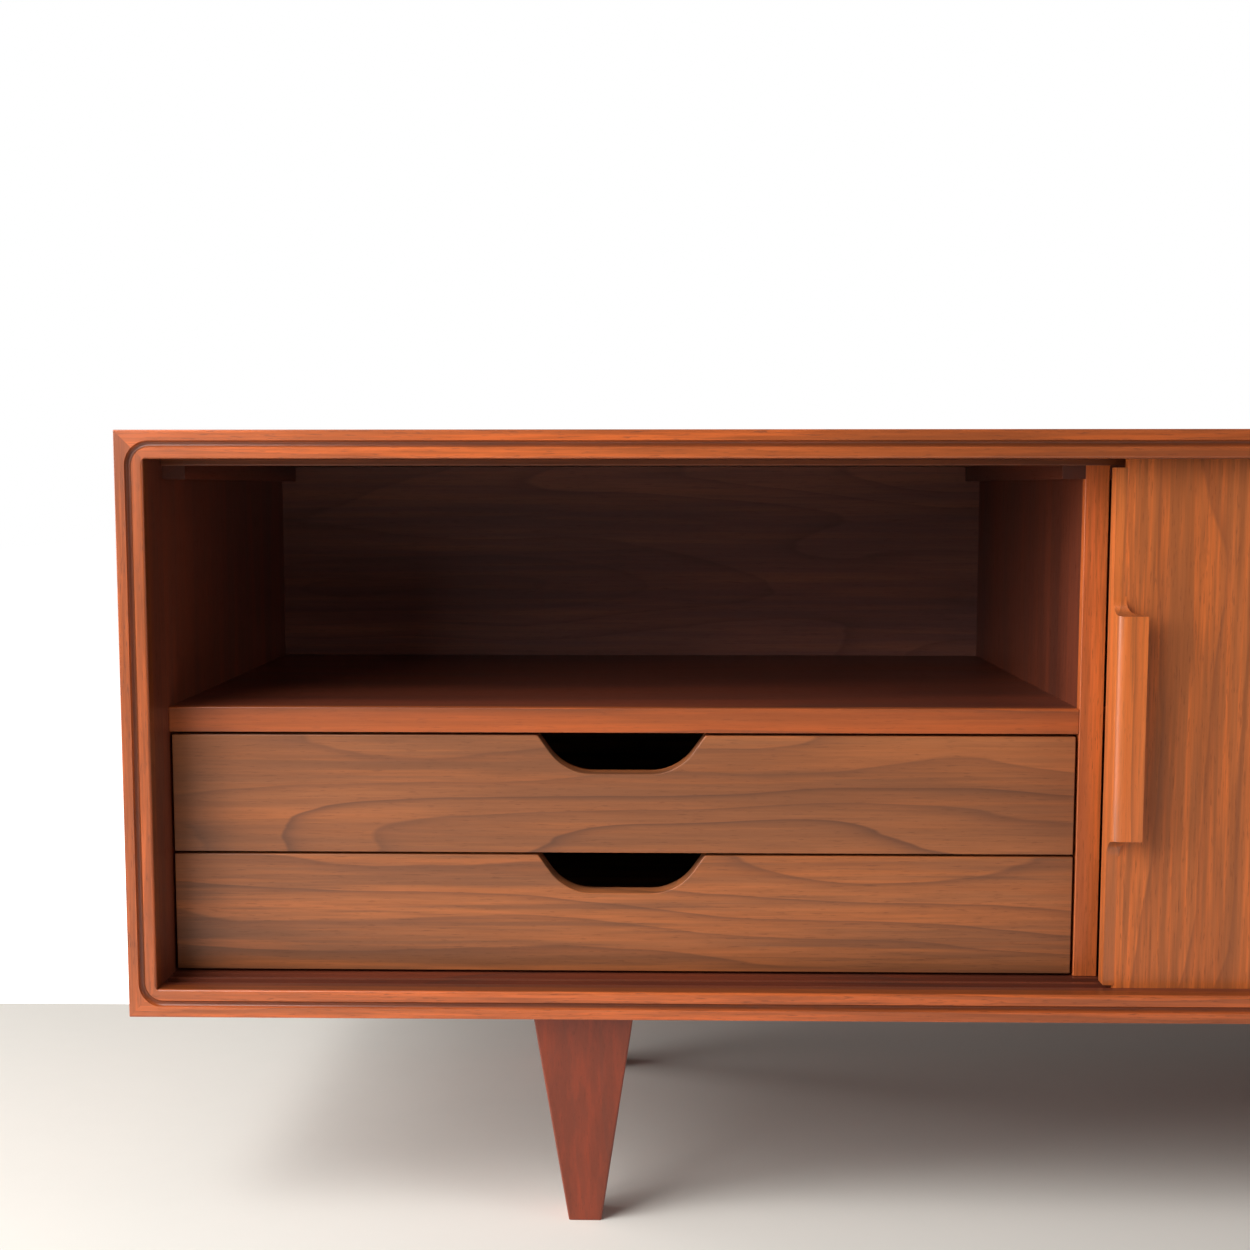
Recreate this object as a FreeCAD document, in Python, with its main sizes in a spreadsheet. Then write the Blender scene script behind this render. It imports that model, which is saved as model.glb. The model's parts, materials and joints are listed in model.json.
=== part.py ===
import FreeCAD, Part
import os
import re
import Sketcher

# A long, low walnut sideboard: a mitred case on four tapered legs, an open bay with two
# inset drawers on the left, and a cupboard behind two bypass sliding doors on the right.
# Frame: X to the right, Y to the back, Z up, in millimetres. The origin is on the floor,
# under the middle of the case.

doc = FreeCAD.newDocument("Sideboard")

# Driving dimensions, one cell each.
SIZES = {
    # case
    "case_length": 1829,
    "case_depth": 457,
    "case_height": 457,
    "leg_height": 185,
    "board": 22,
    "lipping_depth": 12,
    "rim_width": 8,
    "step_depth": 3,
    "step_radius": 19,
    "back_thickness": 6,
    "back_inset": 8,
    "rebate_width": 8,
    "back_play": 0.5,
    # fixed inner pieces
    "bay_width": 725.5,
    "divider_thickness": 19,
    "edge_lipping": 8,
    "shelf_thickness": 20,
    "drawer_zone": 196.5,
    "dowel_radius": 4,
    "dowel_bite": 10,
    "dowel_margin": 70,
    "spline_thickness": 3,
    "spline_reach": 4.2,
    "cleat_width": 18,
    "cleat_height": 15,
    "cleat_rear_gap": 17,
    # sliding door tracks
    "track_setback": 19,
    "floor_groove": 5,
    "top_groove": 11,
    "rear_lip_drop": 4.5,
    # doors
    "door_thickness": 12.7,
    "door_gap": 1.5,
    "divider_gap": 1,
    "tongue": 8,
    "groove_play": 0.5,
    "door_cover": 3,
    "door_end_gap": 1,
    "door_overlap": 26,
    "tongue_rise": 6,
    "shoulder_low": 2,
    "lip_clearance": 2,
    "stile_width": 8.5,
    "door_edging": 8,
    "pull_width": 23,
    "pull_stand": 14.5,
    "pull_length": 174,
    "arris_radius": 7.5,
    "finger_radius": 9,
    "finger_web": 1.5,
    "flush_stile_width": 30,
    "flush_width": 18,
    "flush_depth": 8,
    # drawers
    "drawer_gap": 2.2,
    "front_gap": 2,
    "front_thickness": 19,
    "scoop_width": 134,
    "scoop_floor": 90,
    "scoop_depth": 31,
    "scoop_radius": 42,
    "scoop_corner": 3,
    "drawer_rear_gap": 15,
    "side_thickness": 14,
    "side_drop": 11.75,
    "side_rise": 6,
    "rear_thickness": 12,
    "tray_thickness": 5,
    "tray_rise": 8,
    "tray_seat": 5,
    "tray_play": 0.2,
    # drawer runners
    "runner_height": 10,
    "runner_reach": 7.5,
    "runner_play": 0.3,
    "runner_side_play": 1,
    "runner_front_play": 3,
    # cupboard shelf and its pins
    "loose_shelf_setback": 10,
    "loose_shelf_play": 1,
    "loose_shelf_level": 198,
    "pin_radius": 3,
    "pin_depth": 10,
    "pin_reach": 8,
    "pin_pitch": 32,
    "pin_margin": 40,
    "hole_play": 0.15,
    # legs and their bolts
    "leg_top": 81,
    "leg_foot": 27,
    "leg_setback": 20,
    "leg_centre": 355,
    "leg_easing": 2,
    "bolt_radius": 4,
    "bolt_bite": 16,
    "bolt_shank": 44,
    # screws
    "screw_radius": 1.75,
    "head_radius": 3.5,
    "head_length": 2,
    "screw_bite": 12,
    "screw_margin": 60,
}

# Places and sizes that follow from the ones above.
PLACES = {
    "left_end": "-case_length / 2",
    "right_end": "case_length / 2",
    "front": "-case_depth / 2",
    "rear": "case_depth / 2",
    "case_bottom": "leg_height",
    "case_top": "leg_height + case_height",
    "bay_left": "left_end + board",
    "bay_right": "bay_left + bay_width",
    "cupboard_left": "bay_right + divider_thickness",
    "cupboard_right": "right_end - board",
    "ground": "case_bottom + board",
    "ceiling": "case_top - board",
    "groove_width": "tongue + 3 * groove_play",
    "groove_pitch": "door_thickness + door_gap",
    "recess": "track_setback + groove_play + groove_pitch + door_thickness + divider_gap",
    "inner_front": "front + recess",
    "inner_rear": "rear - back_inset - back_thickness",
    "inner_depth": "inner_rear - inner_front",
    "cleat_length": "inner_depth - cleat_rear_gap",
    "shelf_under": "ground + drawer_zone",
    "shelf_top": "shelf_under + shelf_thickness",
    "front_height": "(drawer_zone - 2 * drawer_gap - front_gap) / 2",
    "front_width": "bay_width - 2 * drawer_gap",
    "drawer_left": "bay_left + drawer_gap",
    "drawer_right": "bay_right - drawer_gap",
    "bay_middle": "bay_left + bay_width / 2",
    "box_front": "inner_front + front_thickness",
    "box_rear": "inner_rear - drawer_rear_gap",
    "drawer_length": "box_rear - box_front",
    "side_height": "front_height - side_rise - side_drop",
    "runner_rise": "(side_height - runner_height) / 2",
    "groove_middle": "front + track_setback + groove_width / 2",
    "lip_front": "groove_middle + groove_pitch + groove_width / 2 + 2 * hole_play",
    "door_front": "front + track_setback + groove_play",
    "doors_left": "cupboard_left - door_cover",
    "doors_right": "cupboard_right - door_end_gap",
    "door_width": "(doors_right - doors_left + door_overlap) / 2",
    "tongue_drop": "floor_groove - groove_play",
    "door_low": "ground + shoulder_low",
    "door_high": "ceiling - rear_lip_drop - lip_clearance",
    "pull_middle": "case_bottom + case_height / 2",
    "pin_level": "ground + loose_shelf_level",
}

UNIT = "Dimensions."


def bound(words):
    """Turns named sizes and places into an expression on the sheet's cells."""
    def swap(match):
        word = match.group(0)
        if word in PLACES:
            return "(" + bound(PLACES[word]) + ")"
        return UNIT + word if word in SIZES else word
    return re.sub(r"[a-z]\w*", swap, str(words))


def value(words):
    """The number that named sizes and places come to now."""
    return float(sheet.evalExpression(bound(words)))


sheet = doc.addObject("Spreadsheet::Sheet", "Dimensions")
for row, (alias, number) in enumerate(SIZES.items(), 1):
    sheet.set("A%d" % row, alias)
    sheet.set("B%d" % row, str(number))
    sheet.setAlias("B%d" % row, alias)
doc.recompute()

subparts = []


def keep(piece, name):
    """Marks a finished piece as a sub-part, which gets its own file."""
    piece.Label = name
    subparts.append(piece)
    return piece


def box(name, x, y, z, length, width, height):
    """A squared board, from its lowest corner and its three sizes."""
    board = doc.addObject("Part::Box", name)
    for prop, words in (("Placement.Base.x", x), ("Placement.Base.y", y), ("Placement.Base.z", z),
                        ("Length", length), ("Width", width), ("Height", height)):
        board.setExpression(prop, bound(words))
    return board


def cut(name, base, *tools):
    """A piece with grooves, rebates or holes taken out, one tool after another."""
    for number, tool in enumerate(tools, 1):
        result = doc.addObject("Part::Cut", name if number == len(tools) else "%s_cut_%d" % (name, number))
        result.Base = base
        result.Tool = tool
        base = result
    return base


def origin_plane(body, role):
    return [plane for plane in body.Origin.OriginFeatures if plane.Role == role][0]


def sketch_on(body, role, name):
    sketch = body.newObject("Sketcher::SketchObject", name)
    sketch.AttachmentSupport = [(origin_plane(body, role), "")]
    sketch.MapMode = "FlatFace"
    return sketch


def fix_point(sketch, edge, end, across, up):
    """Ties one point of a sketch to two expressions, measured from the sketch's origin."""
    for kind, words in (("DistanceX", across), ("DistanceY", up)):
        number = sketch.addConstraint(Sketcher.Constraint(kind, -1, 1, edge, end, value(words)))
        sketch.setExpression("Constraints[%d]" % number, bound(words))


def outline(body, role, name, corners):
    """A closed straight-sided sketch with every corner bound to the sheet."""
    sketch = sketch_on(body, role, name)
    points = [FreeCAD.Vector(value(across), value(up), 0) for across, up in corners]
    for start, end in zip(points, points[1:] + points[:1]):
        sketch.addGeometry(Part.LineSegment(start, end), False)
    for edge in range(len(points)):
        sketch.addConstraint(Sketcher.Constraint("Coincident", edge, 2, (edge + 1) % len(points), 1))
    for edge, (across, up) in enumerate(corners):
        fix_point(sketch, edge, 1, across, up)
    return sketch


def place(body, x="0", y="0", z="0"):
    for axis, words in (("x", x), ("y", y), ("z", z)):
        body.setExpression("Placement.Base." + axis, bound(words))


def pad(body, profile, thickness, name="Pad"):
    """A pad that grows both ways from its sketch."""
    feature = body.newObject("PartDesign::Pad", name)
    feature.Profile = profile
    feature.SideType = "Symmetric"
    feature.setExpression("Length", bound(thickness))
    return feature


def prism(name, role, corners, thickness, **centre):
    """A straight-sided profile made solid, with the middle of its thickness at centre."""
    body = doc.addObject("PartDesign::Body", name)
    pad(body, outline(body, role, name + "_outline", corners), thickness)
    place(body, **centre)
    return body


def rectangle(left, low, right, high):
    return [(left, low), (right, low), (right, high), (left, high)]


def pegs(name, role, centres, radius, thickness, **centre):
    """Equal round pegs, side by side: one group of separate solids."""
    body = doc.addObject("PartDesign::Body", name)
    body.AllowCompound = True
    sketch = sketch_on(body, role, name + "_outline")
    for number, (across, up) in enumerate(centres):
        spot = FreeCAD.Vector(value(across), value(up), 0)
        sketch.addGeometry(Part.Circle(spot, FreeCAD.Vector(0, 0, 1), value(radius)), False)
        fix_point(sketch, number, 3, across, up)
        size = sketch.addConstraint(Sketcher.Constraint("Radius", number, value(radius)))
        sketch.setExpression("Constraints[%d]" % size, bound(radius))
    pad(body, sketch, thickness)
    place(body, **centre)
    return body


def screws(name, role, centres, axis, head, bite, sign):
    """Round-headed screws and the holes for them. head is where the head's top is along the
    axis, bite is how far the shank runs past the head, and sign is the way it points."""
    shank_middle = "%s + %s * (head_length + (%s) / 2)" % (head, sign, bite)
    head_middle = "%s + %s * head_length / 2" % (head, sign)
    made = []
    for suffix, play in (("", "0"), ("_holes", "hole_play")):
        shanks = pegs(name + suffix + "_shanks", role, centres, "screw_radius + " + play,
                      bite, **{axis: shank_middle})
        heads = pegs(name + suffix + "_heads", role, centres, "head_radius + " + play,
                     "head_length", **{axis: head_middle})
        group = doc.addObject("Part::Fuse", name + suffix)
        group.Base = shanks
        group.Tool = heads
        made.append(group)
    keep(made[0], name)
    return made[1]


def edges_where(feature, test):
    """Names of a feature's edges that pass a test on their two ends."""
    names = []
    for number, edge in enumerate(feature.Shape.Edges, 1):
        ends = [vertex.Point for vertex in edge.Vertexes]
        if len(ends) == 2 and test(*ends):
            names.append("Edge%d" % number)
    if not names:
        raise RuntimeError("no edges to round on " + feature.Name)
    return names


def fillet(body, feature, radius, test, name):
    """Rounds the edges of a body's last feature that pass a test."""
    doc.recompute()
    rounding = body.newObject("PartDesign::Fillet", name)
    rounding.Base = (feature, edges_where(feature, test))
    rounding.setExpression("Radius", bound(radius))
    return rounding


NEAR = 0.01


def near(one, other):
    return abs(one - other) < NEAR


# ---------------------------------------------------------------- case

SIDES = ("bottom", "right_side", "top", "left_side")
OUTER = rectangle("left_end", "case_bottom", "right_end", "case_top")
INNER = rectangle("bay_left", "ground", "cupboard_right", "ceiling")
LIPPING_REAR = "front + lipping_depth"


def mitred(name, side, low, high):
    """One side of the rectangular case, mitred at both ends, between two depths."""
    after = (side + 1) % len(SIDES)
    corners = [OUTER[side], OUTER[after], INNER[after], INNER[side]]
    depth = "(%s) - (%s)" % (high, low)
    return prism(name, "XZ_Plane", corners, depth, y="((%s) + (%s)) / 2" % (low, high))


def rebate_tool():
    """The space that the back panel and the inset behind it take up."""
    return box("back_rebate", "bay_left - rebate_width", "inner_rear", "ground - rebate_width",
               "case_length - 2 * board + 2 * rebate_width", "back_thickness + 2 * back_inset",
               "case_height - 2 * board + 2 * rebate_width")


def step_tool():
    """The rounded step that is routed round the face of the lippings."""
    body = doc.addObject("PartDesign::Body", "step_cutter")
    corners = rectangle("left_end + rim_width", "case_bottom + rim_width",
                        "right_end - rim_width", "case_top - rim_width")
    base = pad(body, outline(body, "XZ_Plane", "step_outline", corners), "2 * step_depth")
    place(body, y="front")
    fillet(body, base, "step_radius", lambda a, b: not near(a.y, b.y), "step_corners")
    return body


def track_grooves(name, low, height):
    """Two grooves along the whole case, the front one for the left door."""
    return [box("%s_%s" % (name, track), "bay_left", "front + track_setback + %d * groove_pitch" % number,
                low, "case_length - 2 * board", "groove_width", height)
            for number, track in enumerate(("front", "rear"))]


def ladder(first, rise):
    """Heights of the rows of shelf pin holes: one at the shelf, one above and one below."""
    return ["%s + %d * %s" % (first, step, rise) for step in (-1, 0, 1)]


PIN_ROWS = ("inner_front + loose_shelf_setback + pin_margin", "inner_rear - pin_margin")
PIN_HEIGHT = "pin_level - pin_radius"


def splines(name, play):
    """Loose tongues across the four mitres, a little thicker where they stand for their slots."""
    depth = "case_depth - lipping_depth"
    half = "(spline_thickness / 2 + %s) * sin(45)" % play
    reach = "(spline_reach + %s)" % play
    group = doc.addObject("Part::Compound", name)
    lengths = []
    for number, ((outer_x, outer_z), (inner_x, inner_z)) in enumerate(zip(OUTER, INNER)):
        x = "((%s) + (%s)) / 2" % (outer_x, inner_x)
        z = "((%s) + (%s)) / 2" % (outer_z, inner_z)
        turn = 1 if number % 2 == 0 else -1
        corners = []
        for along, across in ((1, 1), (1, -1), (-1, -1), (-1, 1)):
            right = "%s + %d * %s + %d * %s" % (x, along, reach, across, half)
            up = "%s + %d * %s + %d * %s" % (z, -along * turn, reach, across * turn, half)
            corners.append((right, up))
        lengths.append(prism("%s_%d" % (name, number), "XZ_Plane", corners, depth,
                             y="(%s + rear) / 2" % LIPPING_REAR))
    group.Links = lengths
    return group


def dowels(name, role, centres, axis, faces):
    """Wooden dowels that straddle two or more joint faces, and the holes for them."""
    made = []
    for suffix, play in (("", "0"), ("_holes", "hole_play")):
        rows = [pegs("%s%s_%d" % (name, suffix, number), role, centres, "dowel_radius + " + play,
                     "2 * (dowel_bite + %s)" % play, **{axis: face})
                for number, face in enumerate(faces)]
        group = doc.addObject("Part::Compound", name + suffix)
        group.Links = rows
        made.append(group)
    keep(made[0], name)
    return made[1]


def pin_holes(name, x):
    spots = [(y, z) for y in PIN_ROWS for z in ladder(PIN_HEIGHT, "pin_pitch")]
    return pegs(name, "YZ_Plane", spots, "pin_radius + hole_play", "2 * pin_depth", x=x)


def leg_spots():
    """Name, centre across and centre in depth of each leg."""
    spots = []
    for depth, y in (("front", "front + leg_setback + leg_top / 2"), ("rear", "rear - leg_setback - leg_top / 2")):
        for hand, x in (("left", "left_end + leg_centre"), ("right", "right_end - leg_centre")):
            spots.append(("%s_%s_leg" % (depth, hand), x, y))
    return spots


LEG_CENTRES = [(x, y) for _, x, y in leg_spots()]
BOLT_MIDDLE = "case_bottom + (bolt_bite - bolt_shank) / 2"
bolt_holes = pegs("bolt_holes", "XY_Plane", LEG_CENTRES, "bolt_radius + hole_play",
                  "bolt_bite + bolt_shank + 2 * hole_play", z=BOLT_MIDDLE)
keep(pegs("leg_bolts", "XY_Plane", LEG_CENTRES, "bolt_radius", "bolt_bite + bolt_shank", z=BOLT_MIDDLE),
     "leg_bolts")

# Drawer runners stand on the left side panel and on the divider, one pair to each drawer.
DRAWERS = {
    "lower": "ground + drawer_gap",
    "upper": "ground + drawer_gap + front_height + front_gap",
}
RUNNER_LOW = "side_rise + runner_rise"
RUNNER_FRONT = "box_front + runner_front_play"
RUNNER_LENGTH = "inner_rear - box_front - runner_front_play"
RUNNER_SCREW_SPOTS = [(y, "%s + %s + runner_height / 2" % (low, RUNNER_LOW))
                      for low in DRAWERS.values()
                      for y in (RUNNER_FRONT + " + screw_margin", "inner_rear - screw_margin")]
left_runner_holes = screws("left_runner_screws", "YZ_Plane", RUNNER_SCREW_SPOTS, "x",
                           "bay_left + runner_reach", "screw_bite", "-1")
right_runner_holes = screws("right_runner_screws", "YZ_Plane", RUNNER_SCREW_SPOTS, "x",
                            "bay_right - runner_reach", "screw_bite", "1")

# Cleats tie the top to the sides and to both faces of the divider.
CLEATS = {
    "bay_left_cleat": "bay_left",
    "bay_right_cleat": "bay_right - cleat_width",
    "cupboard_left_cleat": "cupboard_left",
    "cupboard_right_cleat": "cupboard_right - cleat_width",
}
CLEAT_SCREW_SPOTS = [(x + " + cleat_width / 2", y)
                     for x in CLEATS.values()
                     for y in ("inner_front + screw_margin", "inner_front + cleat_length - screw_margin")]
cleat_holes = screws("cleat_screws", "XY_Plane", CLEAT_SCREW_SPOTS, "z",
                     "ceiling - cleat_height", "cleat_height + screw_bite - head_length", "1")

# The back panel is screwed to the shelf, the divider and the rebates of the case.
BACK_SCREW_EDGE = "rebate_width / 2"
BACK_SCREW_COLUMNS = ("left_end + case_length / 6", "left_end + case_length / 2", "right_end - case_length / 6")
BACK_SCREW_SPOTS = ([(x, z) for x in BACK_SCREW_COLUMNS
                     for z in ("ground - " + BACK_SCREW_EDGE, "ceiling + " + BACK_SCREW_EDGE)]
                    + [(x, z) for x in ("bay_left - " + BACK_SCREW_EDGE, "cupboard_right + " + BACK_SCREW_EDGE,
                                        "bay_right + divider_thickness / 2")
                       for z in ("ground + case_height / 5", "ceiling - case_height / 5")])
back_holes = screws("back_panel_screws", "XZ_Plane", BACK_SCREW_SPOTS, "y",
                    "inner_rear + back_thickness", "back_thickness + screw_bite - head_length", "-1")

# Hidden joinery: splined mitres, a doweled divider and a doweled fixed shelf.
keep(splines("corner_splines", "0"), "corner_splines")
spline_slots = splines("spline_slots", "hole_play")
DOWEL_DEPTHS = ("inner_front + dowel_margin", "inner_front + inner_depth / 2", "inner_rear - dowel_margin")
divider_dowel_holes = dowels("divider_dowels", "XY_Plane",
                             [("bay_right + divider_thickness / 2", y) for y in DOWEL_DEPTHS],
                             "z", ("ground", "ceiling"))
shelf_dowel_holes = dowels("bay_shelf_dowels", "YZ_Plane",
                           [(y, "shelf_under + shelf_thickness / 2") for y in DOWEL_DEPTHS],
                           "x", ("bay_left", "bay_right"))

rebate = rebate_tool()
step = step_tool()
floor_grooves = track_grooves("floor_groove_cutter", "ground - floor_groove", "2 * floor_groove")
ceiling_grooves = track_grooves("ceiling_groove_cutter", "ceiling", "top_groove")

BOARD_CUTS = {
    "bottom": [rebate, spline_slots, *floor_grooves, bolt_holes, back_holes, divider_dowel_holes],
    "right_side": [rebate, spline_slots, back_holes, pin_holes("right_pin_holes", "cupboard_right")],
    "top": [rebate, spline_slots, *ceiling_grooves, cleat_holes, back_holes, divider_dowel_holes],
    "left_side": [rebate, spline_slots, back_holes, left_runner_holes, shelf_dowel_holes],
}
for number, side in enumerate(SIDES):
    blank = mitred(side + "_board", number, LIPPING_REAR, "rear")
    keep(cut(side + "_panel", blank, *BOARD_CUTS[side]), side + "_panel")
    strip = mitred(side + "_strip", number, "front", LIPPING_REAR)
    keep(cut(side + "_lipping", strip, step), side + "_lipping")

back_blank = box("back_board", "bay_left - rebate_width + back_play", "inner_rear",
                 "ground - rebate_width + back_play",
                 "case_length - 2 * board + 2 * rebate_width - 2 * back_play", "back_thickness",
                 "case_height - 2 * board + 2 * rebate_width - 2 * back_play")
keep(cut("back_panel", back_blank, back_holes), "back_panel")

divider_blank = box("divider_board", "bay_right", "inner_front + edge_lipping", "ground",
                    "divider_thickness", "inner_depth - edge_lipping", "ceiling - ground")
keep(cut("divider", divider_blank, right_runner_holes, back_holes, divider_dowel_holes, shelf_dowel_holes,
         pin_holes("divider_pin_holes", "cupboard_left")), "divider")
keep(box("divider_lipping", "bay_right", "inner_front", "ground",
         "divider_thickness", "edge_lipping", "ceiling - ground"), "divider_lipping")
bay_shelf_blank = box("bay_shelf_board", "bay_left", "inner_front + edge_lipping", "shelf_under",
                      "bay_width", "inner_depth - edge_lipping", "shelf_thickness")
keep(cut("bay_shelf", bay_shelf_blank, shelf_dowel_holes), "bay_shelf")
keep(box("bay_shelf_lipping", "bay_left", "inner_front", "shelf_under",
         "bay_width", "edge_lipping", "shelf_thickness"), "bay_shelf_lipping")
keep(box("top_track_lip", "bay_left", "lip_front", "ceiling - rear_lip_drop",
         "case_length - 2 * board", "inner_front - lip_front", "rear_lip_drop"), "top_track_lip")
for name, x in CLEATS.items():
    blank = box(name + "_blank", x, "inner_front", "ceiling - cleat_height",
                "cleat_width", "cleat_length", "cleat_height")
    keep(cut(name, blank, cleat_holes), name)

# ---------------------------------------------------------------- legs

for name, x, y in leg_spots():
    body = doc.addObject("PartDesign::Body", name + "_body")
    half = "leg_foot / 2"
    foot = outline(body, "XY_Plane", name + "_foot", rectangle("-" + half, "-" + half, half, half))
    taper = body.newObject("PartDesign::Pad", name + "_taper")
    taper.Profile = foot
    taper.setExpression("Length", bound("leg_height"))
    taper.setExpression("TaperAngle", bound("atan((leg_top - leg_foot) / 2 / leg_height)"))
    place(body, x=x, y=y)
    fillet(body, taper, "leg_easing", lambda a, b: abs(a.z - b.z) > NEAR, name + "_easing")
    keep(cut(name, body, bolt_holes), name)

# ---------------------------------------------------------------- drawers


def drawer_front(name, low):
    """A front with a hand hold scooped out of the middle of its top edge."""
    high = "%s + front_height" % low
    body = doc.addObject("PartDesign::Body", name + "_body")
    face = outline(body, "XZ_Plane", name + "_face", rectangle("drawer_left", low, "drawer_right", high))
    pad(body, face, "front_thickness")
    scoop = outline(body, "XZ_Plane", name + "_scoop", [
        ("bay_middle - scoop_width / 2", high),
        ("bay_middle - scoop_floor / 2", high + " - scoop_depth"),
        ("bay_middle + scoop_floor / 2", high + " - scoop_depth"),
        ("bay_middle + scoop_width / 2", high)])
    pocket = body.newObject("PartDesign::Pocket", name + "_pocket")
    pocket.Profile = scoop
    pocket.SideType = "Symmetric"
    pocket.setExpression("Length", bound("2 * front_thickness"))
    floor_level = value(high + " - scoop_depth")
    inner = fillet(body, pocket, "scoop_radius",
                   lambda a, b: near(a.z, floor_level) and near(b.z, floor_level) and near(a.x, b.x),
                   name + "_inner_corners")
    middle, half = value("bay_middle"), value("scoop_width / 2")
    fillet(body, inner, "scoop_corner",
           lambda a, b: near(abs(a.x - middle), half) and near(a.x, b.x) and near(a.z, b.z),
           name + "_outer_corners")
    place(body, y="inner_front + front_thickness / 2")
    return body


for drawer, low in DRAWERS.items():
    side_low = low + " + side_rise"
    side_high = side_low + " + side_height"
    tray_low = side_low + " + tray_rise"
    inner_left = "drawer_left + side_thickness"
    inner_right = "drawer_right - side_thickness"
    seat = box(drawer + "_tray_groove", inner_left + " - tray_seat - tray_play",
               "box_front - tray_seat - tray_play", tray_low + " - tray_play",
               "front_width - 2 * side_thickness + 2 * tray_seat + 2 * tray_play",
               "drawer_length + tray_seat + 2 * tray_play", "tray_thickness + 2 * tray_play")
    runner_low = "%s + %s" % (low, RUNNER_LOW)
    for hand, wall, outer, slot in (
            ("left", "bay_left", "drawer_left", "drawer_left"),
            ("right", "bay_right - runner_reach", "drawer_right - side_thickness",
             "drawer_right - runner_reach + drawer_gap - runner_side_play")):
        blank = box("%s_%s_side_blank" % (drawer, hand), outer, "box_front", side_low,
                    "side_thickness", "drawer_length", "side_height")
        channel = box("%s_%s_channel" % (drawer, hand), slot, "box_front", runner_low + " - runner_play",
                      "runner_reach - drawer_gap + runner_side_play", "drawer_length",
                      "runner_height + 2 * runner_play")
        name = "%s_drawer_%s_side" % (drawer, hand)
        keep(cut(name, blank, seat, channel), name)
        runner = box("%s_%s_runner_blank" % (drawer, hand), wall, RUNNER_FRONT, runner_low,
                     "runner_reach", RUNNER_LENGTH, "runner_height")
        holes = left_runner_holes if hand == "left" else right_runner_holes
        keep(cut("%s_%s_runner" % (drawer, hand), runner, holes), "%s_%s_runner" % (drawer, hand))
    front = drawer_front(drawer + "_drawer_front", low)
    keep(cut(drawer + "_drawer_front", front, seat), drawer + "_drawer_front")
    keep(box(drawer + "_drawer_tray", inner_left + " - tray_seat", "box_front - tray_seat", tray_low,
             "front_width - 2 * side_thickness + 2 * tray_seat", "drawer_length + tray_seat",
             "tray_thickness"), drawer + "_drawer_tray")
    keep(box(drawer + "_drawer_back", inner_left, "box_rear - rear_thickness",
             tray_low + " + tray_thickness", "front_width - 2 * side_thickness", "rear_thickness",
             "side_height - tray_rise - tray_thickness"), drawer + "_drawer_back")

# ---------------------------------------------------------------- cupboard shelf

loose_left = "cupboard_left + loose_shelf_play"
loose_length = "cupboard_right - cupboard_left - 2 * loose_shelf_play"
loose_front = "inner_front + loose_shelf_setback"
keep(box("cupboard_shelf", loose_left, loose_front + " + edge_lipping", "pin_level", loose_length,
         "inner_rear - inner_front - loose_shelf_setback - edge_lipping - loose_shelf_play",
         "shelf_thickness"), "cupboard_shelf")
keep(box("cupboard_shelf_lipping", loose_left, loose_front, "pin_level", loose_length,
         "edge_lipping", "shelf_thickness"), "cupboard_shelf_lipping")
pin_pairs = []
for hand, x in (("left", "cupboard_left + (pin_reach - pin_depth) / 2"),
                ("right", "cupboard_right - (pin_reach - pin_depth) / 2")):
    spots = [(y, PIN_HEIGHT) for y in PIN_ROWS]
    pin_pairs.append(pegs(hand + "_shelf_pins", "YZ_Plane", spots, "pin_radius", "pin_depth + pin_reach", x=x))
pins = doc.addObject("Part::Compound", "shelf_pins")
pins.Links = pin_pairs
keep(pins, "shelf_pins")

# ---------------------------------------------------------------- doors


def door_panel(name, left, right, face):
    """A door panel with a tongue along its top and its foot, in the face side."""
    tongue_rear = face + " + tongue"
    body_rear = face + " + door_thickness"
    corners = [
        (face, "ground - tongue_drop"), (tongue_rear, "ground - tongue_drop"),
        (tongue_rear, "door_low"), (body_rear, "door_low"),
        (body_rear, "door_high"), (tongue_rear, "door_high"),
        (tongue_rear, "ceiling + tongue_rise"), (face, "ceiling + tongue_rise")]
    return keep(prism(name, "YZ_Plane", corners, "(%s) - (%s)" % (right, left),
                      x="((%s) + (%s)) / 2" % (left, right)), name)


def edging(name, left, face, width):
    """A full-thickness strip on a door's edge, which stops short of both tracks."""
    return box(name, left, face, "door_low", width, "door_thickness", "door_high - door_low")


FRONT_FACE = "door_front"
REAR_FACE = "door_front + groove_pitch"

# The left door runs in the front track. Its stile and its pull are one thick piece of wood,
# cut back above and below the pull with a cove, and hollowed behind it for the fingers.
panel_left = "doors_left + stile_width"
panel_right = "doors_left + door_width - door_edging"
door_panel("left_door_panel", panel_left, panel_right, FRONT_FACE)
keep(edging("left_door_edging", panel_right, FRONT_FACE, "door_edging"), "left_door_edging")
stile = edging("left_door_stile_strip", "doors_left", FRONT_FACE, "stile_width")

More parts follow.
